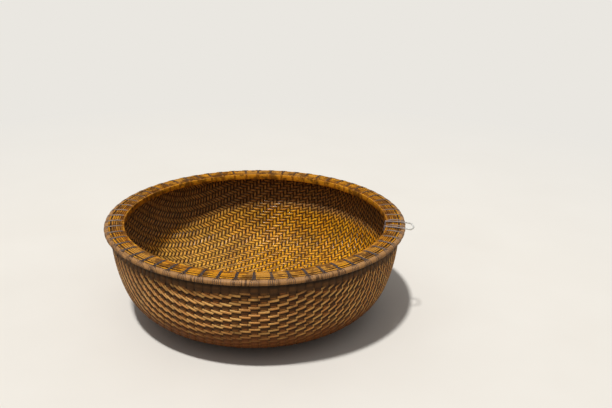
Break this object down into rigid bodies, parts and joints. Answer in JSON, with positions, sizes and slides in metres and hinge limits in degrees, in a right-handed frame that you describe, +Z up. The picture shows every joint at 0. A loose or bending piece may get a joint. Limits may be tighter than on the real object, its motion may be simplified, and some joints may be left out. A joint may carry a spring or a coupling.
{
  "type": "coracle",
  "caption": "Round bowl-shaped basket boat of woven split bamboo, with a wide lashed rim of hoops and splints and one rope oar loop.",
  "frame": {"origin": "middle of the flat bottom's outer face, on the ground the boat stands on", "axes": "+Z up; +X towards the oar loop (which sits 9 degrees towards -Y from +X); -Y towards the viewer of the picture"},
  "size_m": [2.049, 2.003, 0.6659],
  "materials": {
    "hull_bamboo": "woven split bamboo, varnished",
    "outer_hoop_bamboo": "bare, weathered",
    "rim_bamboo": "varnished",
    "inner_hoop_bamboo": "varnished",
    "lashing_line": "satin",
    "loop_rope": "laid rope"
  },
  "bodies": {
    "root": {"woven_hull": "hull_bamboo", "outer_hoop": "outer_hoop_bamboo", "outer_splint": "rim_bamboo", "inner_splint_1": "rim_bamboo", "inner_splint_2": "rim_bamboo", "inner_splint_3": "rim_bamboo", "inner_splint_4": "rim_bamboo", "inner_splint_5": "rim_bamboo", "inner_hoop": "inner_hoop_bamboo", "rim_lashings": "lashing_line", "oar_loop": "loop_rope", "loop_knots": "loop_rope"}
  },
  "joints": []
}
